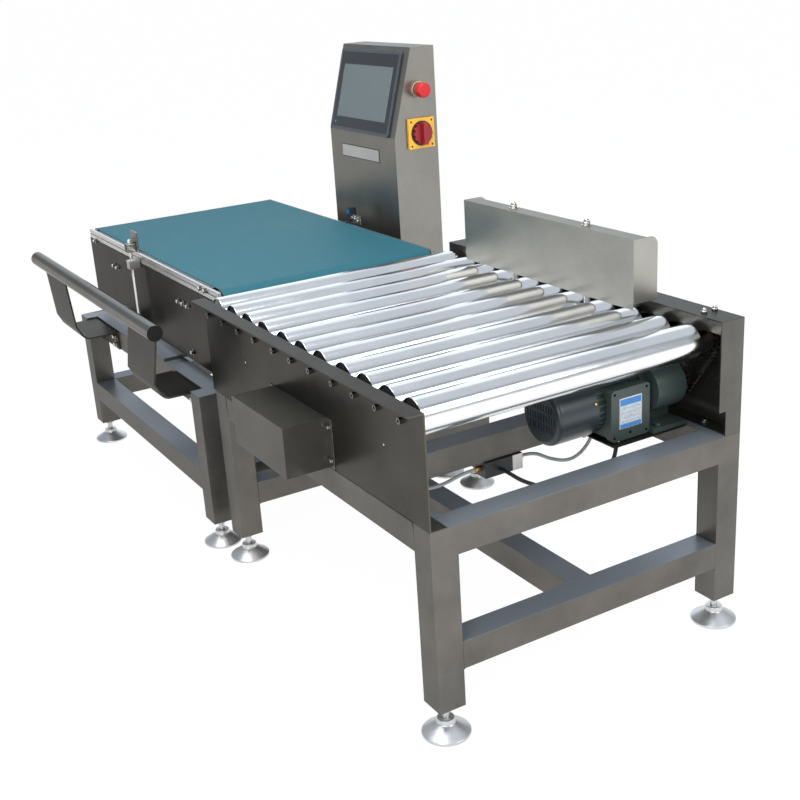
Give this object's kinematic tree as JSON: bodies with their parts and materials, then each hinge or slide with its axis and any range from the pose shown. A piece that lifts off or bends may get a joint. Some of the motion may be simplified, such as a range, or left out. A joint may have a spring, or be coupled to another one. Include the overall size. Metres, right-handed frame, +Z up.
{
  "type": "checkweigher",
  "caption": "Checkweigher: belt weighing conveyor beside a chain-driven roller conveyor with a side pusher, on square-tube stands with a leaning control column",
  "frame": {"origin": "on the floor, in the middle of the machine's box", "axes": "+X conveying direction from the belt to the rollers, +Z up, -Y the handrail side"},
  "size_m": [2.1, 1.0579, 1.2],
  "materials": {
    "aluminium": "natural anodised aluminium",
    "belt": "teal PVC belt, fine matt weave",
    "black_plastic": "black moulded plastic",
    "brass": "brass fittings",
    "cable": "black rubber cable",
    "grey_plastic": "grey moulded plastic bezel",
    "hose": "grey polyurethane hose",
    "motor_paint": "dark grey-green enamel on cast iron",
    "polished": "polished stainless steel",
    "red_plastic": "red moulded plastic",
    "stainless": "satin brushed stainless steel",
    "steel": "plain machined steel",
    "yellow_plastic": "yellow moulded plate with a steel collar"
  },
  "bodies": {
    "machine_frame": {"chain_guard": "stainless", "column_brackets": "stainless", "column_shell": "stainless", "conveyor_belt": "belt", "conveyor_side_rails": "aluminium", "drive_chain": "steel", "drum_shafts": "steel", "fan_cover": "motor_paint", "foot_lock_nuts": "steel", "gear_case": "motor_paint", "guide_end_block": "aluminium", "guide_housing": "stainless", "guide_rods": "steel", "handrail": "polished", "handrail_brackets": "stainless", "hmi_panel": "grey_plastic", "hose_far": "hose", "hose_near": "hose", "load_cell": "aluminium", "load_cell_base": "stainless", "motor_body": "motor_paint", "motor_cable": "cable", "motor_mount_plate": "stainless", "near_side_panel": "stainless", "outfeed_stand": "stainless", "photo_eye": "black_plastic", "pusher_cylinder": "aluminium", "roller_axles": "steel", "sensor_clamp": "aluminium", "sensor_rod": "steel", "switch_plates": "yellow_plastic", "terminal_box": "motor_paint", "valve_block": "black_plastic", "valve_fittings": "brass", "weigh_frame": "stainless", "weigh_side_panels": "stainless", "weigh_stand": "stainless"},
    "weigh_feet": {"weigh_stand_feet": "steel"},
    "roller_feet": {"roller_stand_feet": "steel"},
    "drive_drum_body": {"drive_drum": "steel"},
    "tail_drum_body": {"tail_drum": "steel"},
    "drive_sprocket_body": {"drive_sprocket": "steel"},
    "pusher": {"pusher_plate": "stainless", "pusher_carriage": "aluminium"},
    "estop": {"estop_button": "red_plastic"},
    "switch_handle": {"main_switch_handle": "red_plastic"},
    "door": {"column_door": "stainless"},
    "lock": {"door_lock": "steel"},
    "reflector_body": {"reflector": "black_plastic"},
    "roller_body_01": {"roller_01": "polished"},
    "roller_body_02": {"roller_02": "polished"},
    "roller_body_03": {"roller_03": "polished"},
    "roller_body_04": {"roller_04": "polished"},
    "roller_body_05": {"roller_05": "polished"},
    "roller_body_06": {"roller_06": "polished"},
    "roller_body_07": {"roller_07": "polished"},
    "roller_body_08": {"roller_08": "polished"},
    "roller_body_09": {"roller_09": "polished"},
    "roller_body_10": {"roller_10": "polished"},
    "roller_body_11": {"roller_11": "polished"}
  },
  "joints": [
    {"name": "roller_11_spin", "type": "hinge", "parent": "machine_frame", "child": "roller_body_11", "pos_m": [0.953, 0, 0.657], "axis": [0, 1, 0], "continuous": true},
    {"name": "roller_10_spin", "type": "hinge", "parent": "machine_frame", "child": "roller_body_10", "pos_m": [0.8655, 0, 0.657], "axis": [0, 1, 0], "continuous": true},
    {"name": "roller_09_spin", "type": "hinge", "parent": "machine_frame", "child": "roller_body_09", "pos_m": [0.778, 0, 0.657], "axis": [0, 1, 0], "continuous": true},
    {"name": "roller_08_spin", "type": "hinge", "parent": "machine_frame", "child": "roller_body_08", "pos_m": [0.6905, 0, 0.657], "axis": [0, 1, 0], "continuous": true},
    {"name": "roller_07_spin", "type": "hinge", "parent": "machine_frame", "child": "roller_body_07", "pos_m": [0.5905, 0, 0.657], "axis": [0, 1, 0], "continuous": true},
    {"name": "roller_06_spin", "type": "hinge", "parent": "machine_frame", "child": "roller_body_06", "pos_m": [0.503, 0, 0.657], "axis": [0, 1, 0], "continuous": true},
    {"name": "roller_05_spin", "type": "hinge", "parent": "machine_frame", "child": "roller_body_05", "pos_m": [0.4155, 0, 0.657], "axis": [0, 1, 0], "continuous": true},
    {"name": "roller_04_spin", "type": "hinge", "parent": "machine_frame", "child": "roller_body_04", "pos_m": [0.3155, 0, 0.657], "axis": [0, 1, 0], "continuous": true},
    {"name": "roller_03_spin", "type": "hinge", "parent": "machine_frame", "child": "roller_body_03", "pos_m": [0.228, 0, 0.657], "axis": [0, 1, 0], "continuous": true},
    {"name": "roller_02_spin", "type": "hinge", "parent": "machine_frame", "child": "roller_body_02", "pos_m": [0.1405, 0, 0.657], "axis": [0, 1, 0], "continuous": true},
    {"name": "roller_01_spin", "type": "hinge", "parent": "machine_frame", "child": "roller_body_01", "pos_m": [0.053, 0, 0.657], "axis": [0, 1, 0], "continuous": true},
    {"name": "motor_sprocket_spin", "type": "hinge", "parent": "machine_frame", "child": "drive_sprocket_body", "pos_m": [0.88, 0.363, 0.547], "axis": [0, 1, 0], "continuous": true},
    {"name": "drive_drum_spin", "type": "hinge", "parent": "machine_frame", "child": "drive_drum_body", "pos_m": [-0.023, 0, 0.6627], "axis": [0, 1, 0], "continuous": true},
    {"name": "tail_drum_spin", "type": "hinge", "parent": "machine_frame", "child": "tail_drum_body", "pos_m": [-1.014, 0, 0.6627], "axis": [0, 1, 0], "continuous": true},
    {"name": "pusher_slide", "type": "slide", "parent": "machine_frame", "child": "pusher", "axis": [0, -1, 0], "range_m": [0, 0.56]},
    {"name": "estop_press", "type": "slide", "parent": "machine_frame", "child": "estop", "axis": [-1, 0, 0], "range_m": [0, 0.006]},
    {"name": "main_switch_turn", "type": "hinge", "parent": "machine_frame", "child": "switch_handle", "pos_m": [-0.29, 0.461, 0.959], "axis": [1, 0, 0], "range_deg": [-90, 0]},
    {"name": "door_swing", "type": "hinge", "parent": "machine_frame", "child": "door", "pos_m": [-0.69, 0.525, 0.68], "axis": [0, 0, 1], "range_deg": [0, 110]},
    {"name": "door_lock_turn", "type": "hinge", "parent": "door", "child": "lock", "pos_m": [-0.355, 0.52, 0.68], "axis": [0, 1, 0], "range_deg": [0, 90]},
    {"name": "weigh_feet_level", "type": "slide", "parent": "machine_frame", "child": "weigh_feet", "axis": [0, 0, 1], "range_m": [-0.03, 0]},
    {"name": "roller_feet_level", "type": "slide", "parent": "machine_frame", "child": "roller_feet", "axis": [0, 0, 1], "range_m": [-0.03, 0]},
    {"name": "reflector_height", "type": "slide", "parent": "machine_frame", "child": "reflector_body", "axis": [0, 0, 1], "range_m": [-0.02, 0.01]}
  ],
  "couplings": [
    {"joint": "roller_10_spin", "follows": "roller_11_spin", "ratio": 1},
    {"joint": "roller_09_spin", "follows": "roller_11_spin", "ratio": 1},
    {"joint": "roller_08_spin", "follows": "roller_11_spin", "ratio": 1},
    {"joint": "roller_07_spin", "follows": "roller_11_spin", "ratio": 1},
    {"joint": "roller_06_spin", "follows": "roller_11_spin", "ratio": 1},
    {"joint": "roller_05_spin", "follows": "roller_11_spin", "ratio": 1},
    {"joint": "roller_04_spin", "follows": "roller_11_spin", "ratio": 1},
    {"joint": "roller_03_spin", "follows": "roller_11_spin", "ratio": 1},
    {"joint": "roller_02_spin", "follows": "roller_11_spin", "ratio": 1},
    {"joint": "roller_01_spin", "follows": "roller_11_spin", "ratio": 1},
    {"joint": "motor_sprocket_spin", "follows": "roller_11_spin", "ratio": 1.1333},
    {"joint": "tail_drum_spin", "follows": "drive_drum_spin", "ratio": 1}
  ]
}
